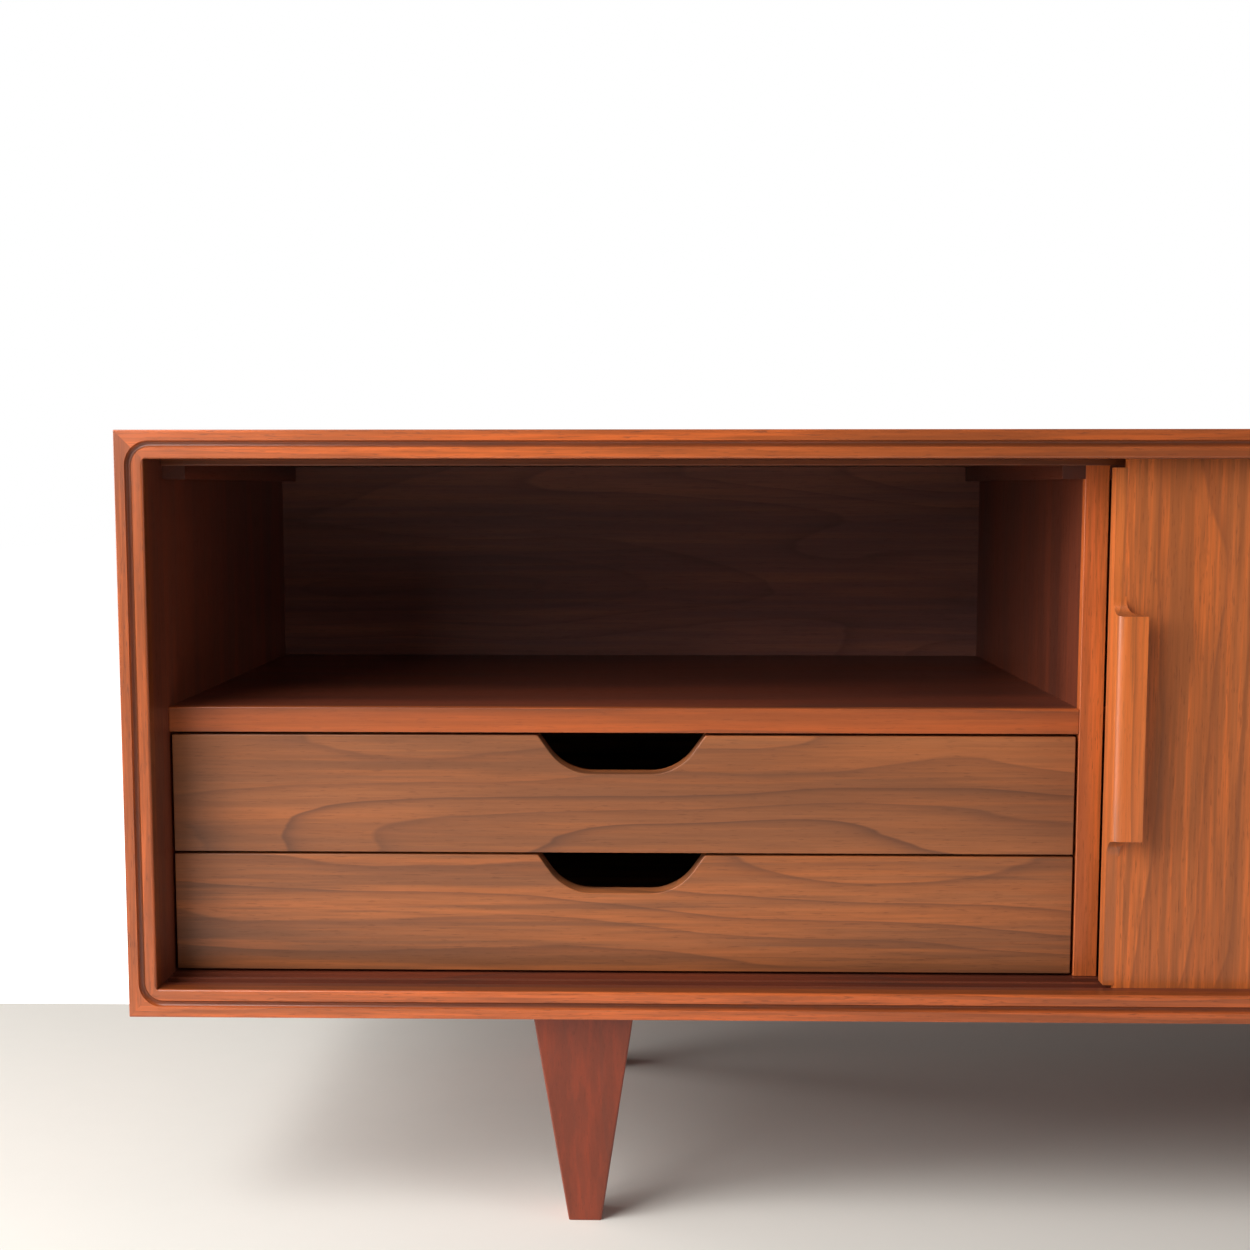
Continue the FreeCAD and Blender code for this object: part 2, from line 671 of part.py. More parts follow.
pull_body = doc.addObject("PartDesign::Body", "pull_blank")
pull_front = "door_front - pull_stand"
section = outline(pull_body, "XY_Plane", "pull_section",
                  rectangle("doors_left", pull_front, "doors_left + pull_width", "door_front"))
pull_pad = pad(pull_body, section, "pull_length + 2 * pull_stand")
place(pull_body, z="pull_middle")
arris_x, arris_y = value("doors_left"), value(pull_front)
fillet(pull_body, pull_pad, "arris_radius",
       lambda a, b: near(a.x, arris_x) and near(a.y, arris_y) and near(a.y, b.y) and not near(a.z, b.z),
       "pull_arris")
cove = pegs("pull_coves", "YZ_Plane",
            [(pull_front, "pull_middle %s (pull_length / 2 + pull_stand)" % sign) for sign in "+-"],
            "pull_stand", "2 * pull_width + 2 * stile_width", x="doors_left + pull_width / 2")
finger_hollow = pegs("finger_hollow", "XY_Plane",
                     [("doors_left + stile_width + finger_web + finger_radius", "door_front")],
                     "finger_radius", "2 * pull_length", z="pull_middle")
finger_side = box("finger_side", "doors_left + stile_width + finger_web + finger_radius",
                  "door_front - finger_radius", "pull_middle - pull_length",
                  "pull_width", "2 * finger_radius", "2 * pull_length")
pull = cut("pull", pull_body, cove, finger_hollow, finger_side)
stile_with_pull = doc.addObject("Part::Fuse", "left_door_stile")
stile_with_pull.Base = stile
stile_with_pull.Tool = pull
keep(stile_with_pull, "left_door_stile")

# The right door runs in the rear track, so its wider stile has a flush finger recess instead.
right_door_left = "doors_right - door_width"
flush_left = "doors_right - flush_stile_width"
door_panel("right_door_panel", right_door_left + " + door_edging", flush_left, REAR_FACE)
keep(edging("right_door_edging", right_door_left, REAR_FACE, "door_edging"), "right_door_edging")
flush_blank = edging("right_door_stile_strip", flush_left, REAR_FACE, "flush_stile_width")
flush_body = doc.addObject("PartDesign::Body", "flush_recess")
flush_middle = "doors_right - flush_stile_width / 2"
recess_outline = outline(flush_body, "XZ_Plane", "flush_outline", rectangle(
    flush_middle + " - flush_width / 2", "pull_middle - pull_length / 2",
    flush_middle + " + flush_width / 2", "pull_middle + pull_length / 2"))
flush_pad = pad(flush_body, recess_outline, "2 * flush_depth")
place(flush_body, y=REAR_FACE)
fillet(flush_body, flush_pad, "flush_width / 2 - hole_play", lambda a, b: not near(a.y, b.y), "flush_ends")
keep(cut("right_door_stile", flush_blank, flush_body), "right_door_stile")

# ---------------------------------------------------------------- check and write

doc.recompute()
for item in doc.Objects:
    if "Invalid" in item.State or "Error" in item.State:
        raise RuntimeError("failed object: %s %s" % (item.Name, item.State))
for piece in subparts:
    if piece.Shape.isNull() or not piece.Shape.isValid() or not piece.Shape.Solids:
        raise RuntimeError("bad shape: " + piece.Label)

os.makedirs("parts", exist_ok=True)
for piece in subparts:
    piece.Shape.exportStep("parts/%s.step" % piece.Label)
print("%d sub-parts" % len(subparts))
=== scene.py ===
"""The looks of a low walnut sideboard: an open bay over two drawers, and two sliding doors.

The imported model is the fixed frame. Every length is in metres, in the frame's own axes:
X right, Y back, Z up.
"""
import json
import math

import bmesh
import bpy
from bpy.props import FloatProperty, FloatVectorProperty, PointerProperty
from mathutils import Matrix, Vector

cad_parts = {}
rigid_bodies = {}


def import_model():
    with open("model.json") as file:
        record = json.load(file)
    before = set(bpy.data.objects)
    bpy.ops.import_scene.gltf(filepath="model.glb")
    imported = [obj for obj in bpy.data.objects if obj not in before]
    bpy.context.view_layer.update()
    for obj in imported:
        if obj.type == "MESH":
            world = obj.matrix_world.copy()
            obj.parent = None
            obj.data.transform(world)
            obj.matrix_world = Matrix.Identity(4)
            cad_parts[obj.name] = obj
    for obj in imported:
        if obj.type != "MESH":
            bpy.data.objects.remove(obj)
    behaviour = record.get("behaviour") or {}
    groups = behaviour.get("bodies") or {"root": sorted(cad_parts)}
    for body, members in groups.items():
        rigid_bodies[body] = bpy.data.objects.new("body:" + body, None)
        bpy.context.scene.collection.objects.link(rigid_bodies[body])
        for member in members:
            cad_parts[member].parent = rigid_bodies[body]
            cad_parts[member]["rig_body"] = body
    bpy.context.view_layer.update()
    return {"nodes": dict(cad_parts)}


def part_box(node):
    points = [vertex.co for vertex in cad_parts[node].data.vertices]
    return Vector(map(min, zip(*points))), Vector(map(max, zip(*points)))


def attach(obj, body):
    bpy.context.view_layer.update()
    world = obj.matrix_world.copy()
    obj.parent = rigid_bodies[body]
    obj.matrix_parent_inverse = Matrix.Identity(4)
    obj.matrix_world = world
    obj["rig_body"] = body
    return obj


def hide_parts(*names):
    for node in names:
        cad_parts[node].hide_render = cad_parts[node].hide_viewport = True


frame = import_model()

bl_info = {
    "name": "Walnut sideboard",
    "version": (1, 0, 0),
    "blender": (4, 5, 0),
    "location": "3D View > Sidebar > Sideboard",
    "description": "Moulded lippings, eased edges and oiled walnut for a packed sideboard",
    "category": "Object",
}

MM = 0.001
WELD = 0.002 * MM
NEAR = 0.02 * MM
CHAMFER = 0.1 * MM
FLAT_UNDER = math.radians(0.4)
SHARP_OVER = math.radians(60)
ARC_STEPS = 8
EASE_STEPS = 3
SMOOTH_UNDER = math.radians(40)

CASE_LOW, CASE_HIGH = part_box("left_side_lipping")[0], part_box("right_side_lipping")[1]
SIDES = {
    "left_side": Vector((-1, 0, 0)),
    "right_side": Vector((1, 0, 0)),
    "bottom": Vector((0, 0, -1)),
    "top": Vector((0, 0, 1)),
}


def srgb(red, green, blue):
    """A colour of 0 to 255 display values, as linear light."""
    parts = (value / 255 for value in (red, green, blue))
    return tuple(part / 12.92 if part <= 0.04045 else ((part + 0.055) / 1.055) ** 2.4 for part in parts)


# ---------------------------------------------------------------- settings

class SideboardShape(bpy.types.PropertyGroup):
    """Sizes of the details that are worked on the pieces."""

    rim: FloatProperty(
        name="Rim", description="Width of the flat outer rim of the moulding",
        default=8 * MM, unit="LENGTH")
    step_radius: FloatProperty(
        name="Step radius", description="Radius of the sunk step where it turns a corner",
        default=19 * MM, unit="LENGTH")
    cove: FloatProperty(
        name="Cove radius", description="Radius of the round-bottomed groove inside the rim",
        default=2.6 * MM, unit="LENGTH")
    lip: FloatProperty(
        name="Lip", description="Depth of the cove's edges and of the flat bead behind the rim",
        default=0.6 * MM, unit="LENGTH")
    nose: FloatProperty(
        name="Nose radius", description="Radius of the bead's inner edge", default=2 * MM, unit="LENGTH")
    arris: FloatProperty(
        name="Arris", description="Radius rubbed on the boards' edges", default=0.8 * MM, unit="LENGTH")
    hand_edge: FloatProperty(
        name="Hand edge", description="Radius on the edges that a hand takes hold of",
        default=2.4 * MM, unit="LENGTH")
    leg_edge: FloatProperty(
        name="Foot edge", description="Radius under the legs", default=1.5 * MM, unit="LENGTH")


class SideboardColours(bpy.types.PropertyGroup):
    """Colours of the finishes, before light falls on them."""

    drawer: FloatVectorProperty(
        name="Drawer walnut", description="Tan veneer of the drawer fronts",
        default=srgb(167, 99, 57), subtype="COLOR", min=0, max=1)
    door: FloatVectorProperty(
        name="Door walnut", description="Straight veneer of the sliding doors",
        default=srgb(208, 112, 54), subtype="COLOR", min=0, max=1)
    lipping: FloatVectorProperty(
        name="Lipping walnut", description="Solid wood of the front edges",
        default=srgb(200, 100, 47), subtype="COLOR", min=0, max=1)
    case: FloatVectorProperty(
        name="Case walnut", description="Veneer of the case boards and shelves",
        default=srgb(113, 53, 33), subtype="COLOR", min=0, max=1)
    leg: FloatVectorProperty(
        name="Leg walnut", description="Solid wood of the legs",
        default=srgb(157, 61, 26), subtype="COLOR", min=0, max=1)
    back: FloatVectorProperty(
        name="Back walnut", description="Veneer of the back panel",
        default=srgb(164, 104, 87), subtype="COLOR", min=0, max=1)
    inner: FloatVectorProperty(
        name="Inner wood", description="Pale wood of the drawer boxes",
        default=srgb(196, 160, 118), subtype="COLOR", min=0, max=1)
    figure: FloatVectorProperty(
        name="Growth lines", description="Tint that the dark growth lines take the wood towards",
        default=srgb(78, 50, 40), subtype="COLOR", min=0, max=1)
    steel: FloatVectorProperty(
        name="Steel", description="Bolts and screws",
        default=srgb(150, 148, 144), subtype="COLOR", min=0, max=1)
    brass: FloatVectorProperty(
        name="Brass", description="Shelf pins", default=srgb(196, 160, 92), subtype="COLOR", min=0, max=1)


class SideboardStage(bpy.types.PropertyGroup):
    """Camera, floor and lights."""

    lens: FloatProperty(
        name="Lens", description="Focal length of the camera",
        default=44.545 * MM, subtype="DISTANCE_CAMERA", unit="CAMERA")
    eye: FloatVectorProperty(
        name="Eye", description="Where the camera stands",
        default=(-0.5037, -1.4012, 0.5972), subtype="TRANSLATION")
    pitch: FloatProperty(
        name="Pitch", description="How far the camera looks down",
        default=-0.0877, subtype="ANGLE", unit="ROTATION")
    yaw: FloatProperty(
        name="Yaw", description="How far the camera looks to the left", default=0.019, subtype="ANGLE",
        unit="ROTATION")
    floor: FloatVectorProperty(
        name="Floor", description="Pale floor",
        default=srgb(232, 228, 220), subtype="COLOR", min=0, max=1)
    backdrop: FloatVectorProperty(
        name="Backdrop", description="White ground behind",
        default=srgb(254, 254, 254), subtype="COLOR", min=0, max=1)
    glow: FloatProperty(
        name="Backdrop glow", description="How strongly the white ground behind shines",
        default=1.0, subtype="FACTOR")
    target: FloatVectorProperty(
        name="Lit point", description="The point all lights shine at", default=(-0.45, -0.1, 0.3),
        subtype="TRANSLATION")
    light_reach: FloatProperty(
        name="Light distance", description="From the lit point to each light", default=3.8, unit="LENGTH")
    light_size: FloatProperty(
        name="Light size", description="Side of each square light", default=1.6, unit="LENGTH")
    near_target: FloatVectorProperty(
        name="Near lit point", description="The point the near lights shine at",
        default=(-0.8, -0.22, 0.35), subtype="TRANSLATION")
    near_reach: FloatProperty(
        name="Near light distance", description="From the near lit point to each near light",
        default=1.7, unit="LENGTH")
    near_size: FloatProperty(
        name="Near light size", description="Side of each square near light", default=0.8, unit="LENGTH")
    wall_gap: FloatProperty(
        name="Backdrop distance", description="From the back of the case to the white ground",
        default=0.114, unit="LENGTH")


# ---------------------------------------------------------------- finishes

class Value:
    """A number in a finish. Arithmetic on it adds Math nodes."""

    def __init__(self, finish, socket):
        self.finish = finish
        self.socket = socket

    def __add__(self, other):
        return self.finish.math("ADD", self, other)

    def __sub__(self, other):
        return self.finish.math("SUBTRACT", self, other)

    def __mul__(self, other):
        return self.finish.math("MULTIPLY", self, other)

    def __truediv__(self, other):
        return self.finish.math("DIVIDE", self, other)

    def __pow__(self, other):
        return self.finish.math("POWER", self, other)

    def __rsub__(self, other):
        return self.finish.math("SUBTRACT", other, self)

    __radd__ = __add__
    __rmul__ = __mul__


class Finish:
    """One material and its node tree."""

    def __init__(self, name):
        self.material = bpy.data.materials.new(name)
        self.material.use_nodes = True
        self.tree = self.material.node_tree
        self.tree.nodes.clear()

    def node(self, kind, settings, inputs, output=0):
        """Adds a node: its settings, then its sockets' values or links. Gives one output or several."""
        made = self.tree.nodes.new(kind)
        for key, setting in settings.items():
            if key == "stops":
                self.set_stops(made.color_ramp.elements, setting)
            else:
                setattr(made, key, setting)
        for key, value in inputs.items():
            if isinstance(value, Value):
                self.tree.links.new(value.socket, made.inputs[key])
            else:
                made.inputs[key].default_value = value
        if isinstance(output, tuple):
            return [Value(self, made.outputs[key]) for key in output]
        return Value(self, made.outputs[output]) if made.outputs else None

    def set_stops(self, elements, stops):
        """Sets a ramp's stops from pairs of position and colour."""
        while len(elements) < len(stops):
            elements.new(1)
        for element, (position, colour) in zip(elements, stops):
            element.position = position
            element.color = (*colour, 1)

    def math(self, operation, *terms, clamp=False):
        """A Math node on numbers and values."""
        settings = {"operation": operation, "use_clamp": clamp}
        return self.node("ShaderNodeMath", settings, dict(enumerate(terms)))

    def vector(self, operation, *terms, output=0):
        """A Vector Math node."""
        return self.node("ShaderNodeVectorMath", {"operation": operation}, dict(enumerate(terms)), output)

    def mix(self, factor, first, second, blend="MIX"):
        """A Mix node on two colours."""
        settings = {"data_type": "RGBA", "blend_type": blend, "clamp_factor": True}
        return self.node("ShaderNodeMix", settings, {0: factor, 6: first, 7: second}, 2)

    def smooth(self, value, low, high):
        """0 below low, 1 above high, with a smooth step between them."""
        settings = {"interpolation_type": "SMOOTHSTEP"}
        inputs = {"Value": value, "From Min": low, "From Max": high}
        return self.node("ShaderNodeMapRange", settings, inputs)

    def noise(self, place, stretch, detail, roughness=0.5):
        """Noise of about 0.5, at stretch waves per metre along each axis of place."""
        stretched = self.vector("MULTIPLY", place, stretch)
        inputs = {"Vector": stretched, "Scale": 1, "Detail": detail, "Roughness": roughness}
        return self.node("ShaderNodeTexNoise", {}, inputs)

    def surface(self, constants, inputs):
        """The Principled shader. What is the same everywhere is a constant, and the rest is linked."""
        inputs = {**constants, **inputs}
        shader = self.node("ShaderNodeBsdfPrincipled", {}, inputs)
        self.node("ShaderNodeOutputMaterial", {}, {"Surface": shader})
        return self.material


GRAIN_TURN = {"X": (0, 0, 0), "Y": (0, 0, -math.pi / 2), "Z": (0, math.pi / 2, 0)}
GRAIN_WAY = {"X": (1, 0, 0), "Y": (0, 1, 0), "Z": (0, 0, 1)}
WARM = (1.32, 1.16, 0.92)
COOL = (0.6, 0.66, 0.8)


def scaled(colour, *gains):
    """A colour with its parts multiplied by one gain, or by one each, and no part above 1."""
    gains = gains if len(gains) == len(colour) else gains * len(colour)
    return (*(min(1, part * gain) for part, gain in zip(colour, gains)), 1)


def grain_place(finish, grain, seed):
    """Object coordinates, turned to run along the grain first and shifted to some part of the tree."""
    where = finish.node("ShaderNodeTexCoord", {}, {}, "Object")
    shift = (0.37 * seed + 3.1, 0.113 * seed + 1.7, 0.071 * seed - 2.3)
    return finish.node("ShaderNodeMapping", {"vector_type": "POINT"},
                       {"Vector": where, "Rotation": GRAIN_TURN[grain], "Location": shift})


def end_grain(finish, grain):
    """1 on faces that are cut across the grain."""
    normal = finish.node("ShaderNodeNewGeometry", {}, {}, "Normal")
    along = finish.vector("DOT_PRODUCT", normal, GRAIN_WAY[grain], output="Value")
    return finish.smooth(finish.math("ABSOLUTE", along), 0.6, 0.9)


def walnut(name, colour, grain, seed, swirl=3.0, lines=22.0, line_depth=0.5, streaks=0.45, speckle=0.3,
           roughness=0.4, coat=0.15, shade=1.0, length=1.0, recess_shade=None):
    """Oiled walnut: growth lines that loop, broad grey and red streaks, fine fibres and open pores.

    swirl bends the growth lines into loops, lines is how many of them cross a metre, and length
    stretches the figure. The last argument paints shade: it is how deep behind the case's front the
    wood starts to darken, standing for the shade in the cove and inside the opening, and where it is
    darkest.
    """
    finish = Finish(name)
    place = grain_place(finish, grain, seed)
    along, across, through = finish.node("ShaderNodeSeparateXYZ", {}, {0: place}, ("X", "Y", "Z"))
    bend = finish.noise(place, (1.5 / length, 7, 7), 1.5, 0.45)
    wobble = finish.noise(place, (9 / length, 55, 55), 2)
    field = (through + across * 0.6) * lines + bend * (2.6 * swirl) + wobble * 0.35
    ring = finish.math("FRACT", field)
    which = finish.node("ShaderNodeTexWhiteNoise", {"noise_dimensions": "1D"},
                        {"W": finish.math("FLOOR", field)})
    late_wood = ring ** 6 * (1 - finish.smooth(ring, 0.95, 1.0)) * (which * 0.9 + 0.4)
    patches = finish.noise(place, (1.1 / length, 14, 14), 2.5, 0.55)
    ribbons = finish.noise(place, (1.7 / length, 42, 42), 3, 0.6)
    threads = finish.noise(place, (4 / length, 150, 150), 3, 0.6)
    fibres = finish.noise(place, (14, 420, 420), 3, 0.65)
    pores = finish.smooth(finish.noise(place, (70, 900, 900), 2, 0.6), 0.58, 0.7)
    ends = end_grain(finish, grain)

    warm, cool = scaled(colour, *WARM), scaled(colour, *COOL)
    figure = (*bpy.context.scene.sideboard_colours.figure, 1)
    wood = finish.mix(finish.smooth(patches, 0.38, 0.6), cool, scaled(colour, 1.12))
    wood = finish.mix(finish.smooth(ribbons, 0.44, 0.72) * streaks, wood, warm)
    wood = finish.mix((1 - finish.smooth(ribbons, 0.28, 0.5)) * (streaks * 0.8), wood, cool)
    wood = finish.mix(finish.smooth(threads, 0.46, 0.7) * (streaks * 0.8), wood, warm)
    wood = finish.mix((1 - finish.smooth(threads, 0.34, 0.5)) * streaks, wood, cool)
    wood = finish.mix(ring ** 2 * (line_depth * 0.45), wood, cool)
    wood = finish.mix(late_wood * line_depth, wood, figure)
    wood = finish.mix(finish.smooth(fibres, 0.3, 0.75) * speckle, wood, scaled(colour, 0.45))
    wood = finish.mix(pores * (speckle * 0.9), wood, scaled(colour, 0.3))
    wood = finish.mix(ends * 0.55, wood, scaled(colour, 0.32))
    # Painted shade: the wood darkens with depth behind the case's front, in the cove and on the inner
    # faces.
    if recess_shade:
        where = finish.node("ShaderNodeTexCoord", {}, {}, "Object")
        depth = finish.node("ShaderNodeSeparateXYZ", {}, {0: where}, "Y")
        in_shade = finish.smooth(depth, CASE_LOW.y + recess_shade[0], CASE_LOW.y + recess_shade[1])
        wood = finish.mix(in_shade * 0.72, wood, scaled(colour, 0.16))
    if shade != 1.0:
        wood = finish.mix(1.0, wood, (shade, shade, shade, 1), "MULTIPLY")
    grain_height = fibres * 0.5 - pores * 0.8
    relief = {"Strength": 0.12, "Distance": 0.15 * MM, "Height": grain_height}
    bump = finish.node("ShaderNodeBump", {}, relief)
    polish = roughness + (patches - 0.5) * 0.12 + pores * 0.12 + ends * 0.15
    constants = {"Coat Roughness": 0.22, "Coat Weight": coat, "IOR": 1.5, "Specular IOR Level": 0.5}
    return finish.surface(constants, {"Base Color": wood, "Roughness": polish, "Normal": bump})


def metal(name, colour, roughness):
    """Turned metal with fine rubbed marks and a few dull spots."""
    finish = Finish(name)
    place = grain_place(finish, "X", 1)
    rubs = finish.noise(place, (260, 2200, 2200), 3, 0.6)
    dull = finish.smooth(finish.noise(place, (180, 180, 180), 3), 0.5, 0.75)
    tone = finish.mix(dull * 0.5, (*colour, 1), scaled(colour, 0.45))
    bump = finish.node("ShaderNodeBump", {}, {"Strength": 0.15, "Distance": 0.05 * MM, "Height": rubs})
    inputs = {"Base Color": tone, "Roughness": roughness + dull * 0.2 + rubs * 0.1, "Normal": bump}
    return finish.surface({"Metallic": 1.0}, inputs)


def plain_stage(name, colour, roughness, mottle, glow=0.0):
    """A plain pale surface with the faintest mottle, which may glow of itself."""
    finish = Finish(name)
    where = finish.node("ShaderNodeTexCoord", {}, {}, "Object")
    spots = finish.smooth(finish.noise(where, (9, 9, 9), 4, 0.6), 0.35, 0.75)
    tone = finish.mix(spots * mottle, (*colour, 1), scaled(colour, 0.86))
    constants = {"Specular IOR Level": 0.3, "Emission Strength": glow}
    inputs = {"Base Color": tone, "Emission Color": tone, "Roughness": roughness + spots * 0.1}
    return finish.surface(constants, inputs)


# ---------------------------------------------------------------- pieces

def finished_piece(name, bm, body, slot, material, *nodes):
    """Makes a piece from a bmesh, rides it on its body and lets it stand for the CAD nodes."""
    mesh = bpy.data.meshes.new(name)
    bm.to_mesh(mesh)
    bm.free()
    mesh.shade_smooth()
    mesh.set_sharp_from_angle(angle=SMOOTH_UNDER)
    piece = bpy.data.objects.new(name, mesh)
    bpy.context.scene.collection.objects.link(piece)
    even = piece.modifiers.new("Even shading", "WEIGHTED_NORMAL")
    even.keep_sharp = True
    even.weight = 100
    mesh.materials.append(material)
    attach(piece, body)
    if nodes:
        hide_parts(*nodes)
    return piece


def body_of(node):
    """The body that a CAD node rides on."""
    return frame["nodes"][node]["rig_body"]


def dress(node, material):
    """Gives a CAD node that keeps its shape its finish."""
    mesh = frame["nodes"][node].data
    mesh.materials.clear()
    mesh.materials.append(material)


def merged_copy(node):
    """A CAD node's mesh with its triangles merged into flat faces."""
    bm = bmesh.new()
    bm.from_mesh(frame["nodes"][node].data)
    bmesh.ops.remove_doubles(bm, verts=bm.verts, dist=WELD)
    bmesh.ops.dissolve_limit(bm, angle_limit=FLAT_UNDER, verts=bm.verts, edges=bm.edges)
    return bm


def on_plane(edge, axis, value):
    """Whether an edge lies in the plane where axis has that value."""
    return all(abs(vert.co["XYZ".index(axis)] - value) < NEAR for vert in edge.verts)


def ease(bm, edges, radius, steps=EASE_STEPS):
    """Rounds edges."""
    bmesh.ops.bevel(bm, geom=edges, offset=radius, offset_type="OFFSET", segments=steps, profile=0.5,
                    affect="EDGES", clamp_overlap=True, material=-1)


def sharp_edges(bm, joints):
    """Outward edges sharper than 60 degrees that lie in none of the joint planes."""
    return [edge for edge in bm.edges
            if edge.is_manifold and edge.is_convex and edge.calc_face_angle() > SHARP_OVER
            and not any(on_plane(edge, axis, value) for axis, value in joints)]


def eased_copy(node, material, slot, radius, joints=()):
    """A CAD node with its outward edges rubbed round, except where it is glued to its neighbours."""
    bm = merged_copy(node)
    ease(bm, sharp_edges(bm, joints), radius)
    return finished_piece("eased_" + node, bm, body_of(node), slot, material, node)


def carry(bm, edges, hearts, reach, y, square):
    """Draws a loop of edges to a new loop at depth y, reach from its corners' hearts, round or square."""
    low, high = hearts
    made = bmesh.ops.extrude_edge_only(bm, edges=edges)["geom"]
    for vert in (item for item in made if isinstance(item, bmesh.types.BMVert)):
        heart = Vector((min(max(vert.co.x, low.x), high.x), vert.co.y,
                        min(max(vert.co.z, low.z), high.z)))
        away = vert.co - heart
        away /= max(abs(away.x), abs(away.z)) if square else away.length
        vert.co = heart + away * reach
        vert.co.y = y
    return [item for item in made if isinstance(item, bmesh.types.BMEdge)]


def edge_gap(edge, axis):
    """How far an edge's first end lies from the nearer of the case's two ends along an axis."""
    place = getattr(edge.verts[0].co, axis)
    return min(abs(place - getattr(CASE_LOW, axis)), abs(place - getattr(CASE_HIGH, axis)))


def moulded_ring(shape):
    """The moulding round the whole front as one closed ring, before its corners are mitred."""
    front, back = CASE_LOW.y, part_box("left_side_lipping")[1].y
    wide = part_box("left_side_lipping")[1].x - CASE_LOW.x
    inset = Vector((shape.rim, 0, shape.rim))
    low, high = CASE_LOW + inset, CASE_HIGH - inset
    centre, span = (low + high) / 2, high - low
    bm = bmesh.new()
    place = Matrix.Translation((centre.x, front, centre.z)) @ Matrix.Rotation(math.pi / 2, 4, "X")
    bmesh.ops.create_grid(bm, x_segments=1, y_segments=1, size=0.5,
                          matrix=place @ Matrix.Diagonal((span.x, span.z, 1, 1)))
    bmesh.ops.bevel(bm, geom=bm.verts[:], offset=shape.step_radius, offset_type="OFFSET",
                    segments=2 * ARC_STEPS, profile=0.5, affect="VERTICES", clamp_overlap=False,
                    material=-1)
    bmesh.ops.delete(bm, geom=bm.faces[:], context="FACES_ONLY")
    step = bm.edges[:]
    turn = Vector((shape.step_radius, 0, shape.step_radius))
    hearts = (low + turn, high - turn)

    outer = carry(bm, step, hearts, shape.step_radius + shape.rim, front, True)
    outer_back = carry(bm, outer, hearts, shape.step_radius + shape.rim, back, True)
    inner, sunk = step, wide - shape.rim
    for inset, depth in moulding_profile(shape, sunk):
        square = inset > sunk - shape.nose
        inner = carry(bm, inner, hearts, shape.step_radius - inset, front + depth, square)
    inner_back = carry(bm, inner, hearts, shape.step_radius - sunk, back, True)
    bmesh.ops.bridge_loops(bm, edges=outer_back + inner_back)
    bmesh.ops.recalc_face_normals(bm, faces=bm.faces)
    corners = [edge for edge in bm.edges
               if on_plane(edge, "X", edge.verts[0].co.x) and on_plane(edge, "Z", edge.verts[0].co.z)
               and edge_gap(edge, "x") < WELD and edge_gap(edge, "z") < WELD]
    ease(bm, outer + corners, shape.arris)
    return bm


def moulding_profile(shape, width):
    """Pairs of distance in from the rim's edge and depth behind the rim: chamfer, cove, bead and nose."""
    profile = [(CHAMFER, CHAMFER)]
    for step in range(2 * ARC_STEPS + 1):
        turn = math.pi * step / (2 * ARC_STEPS)
        profile.append((CHAMFER + shape.cove * (1 - math.cos(turn)),
                        shape.lip + shape.cove * math.sin(turn)))
    for step in range(ARC_STEPS + 1):
        turn = math.pi / 2 * step / ARC_STEPS
        profile.append((width - shape.nose * (1 - math.sin(turn)),
                        shape.lip + shape.nose * (1 - math.cos(turn))))
    return profile


def mitred_part(ring, way):
    """The part of a ring on the side that way points to, cut at 45 degrees through the outer corners."""
    bm = ring.copy()
    middle = (CASE_LOW + CASE_HIGH) / 2
    planes = [(middle, -way)]
    for corner in outer_corners(way):
        inward = middle - corner
        inward = Vector((math.copysign(1, inward.x), 0, math.copysign(1, inward.z)))
        planes.append((corner, 2 * inward.dot(way) * way - inward))
    for place, normal in planes:
        geometry = bm.verts[:] + bm.edges[:] + bm.faces[:]
        bmesh.ops.bisect_plane(bm, geom=geometry, dist=WELD, plane_co=place, plane_no=normal,
                               clear_outer=True)
    bmesh.ops.holes_fill(bm, edges=[edge for edge in bm.edges if edge.is_boundary], sides=0)
    return bm


def outer_corners(way):
    """The case's two outer corners at the ends of the side that way points to."""
    for sign in (-1, 1):
        turn = Vector((sign, 0, sign)) - Vector((abs(way.x), 0, abs(way.z))) * sign + way
        yield Vector((CASE_LOW.x if turn.x < 0 else CASE_HIGH.x, 0,
                      CASE_LOW.z if turn.z < 0 else CASE_HIGH.z))


# ---------------------------------------------------------------- operators

class SIDEBOARD_OT_lippings(bpy.types.Operator):
    """Make the four mitred lippings with their sunk moulding"""
    bl_idname = "sideboard.lippings"
    bl_label = "Front lippings"

    def execute(self, context):
        shape, colours = context.scene.sideboard_shape, context.scene.sideboard_colours
        ring = moulded_ring(shape)
        for seed, (side, way) in enumerate(SIDES.items()):
            node = side + "_lipping"
            bm = mitred_part(ring, way)
            grain = "Z" if way.z == 0 else "X"
            # Painted shade: the left lipping's wood is painted darker, for the shade that falls on that
            # side.
            shade = 0.8 if side == "left_side" else 1.0
            # Painted shade darkens the cove and the faces inside the rim, deeper behind the case's front.
            wood = walnut(node, colours.lipping, grain, seed + 3, swirl=1.2, lines=60, line_depth=0.4,
                          streaks=0.6, speckle=0.7, roughness=0.36, coat=0.25, shade=shade,
                          recess_shade=(shape.lip + 0.1 * shape.cove, shape.lip + shape.cove))
            finished_piece("moulded_" + node, bm, "case", "lipping_walnut", wood, node)
        ring.free()
        return {"FINISHED"}


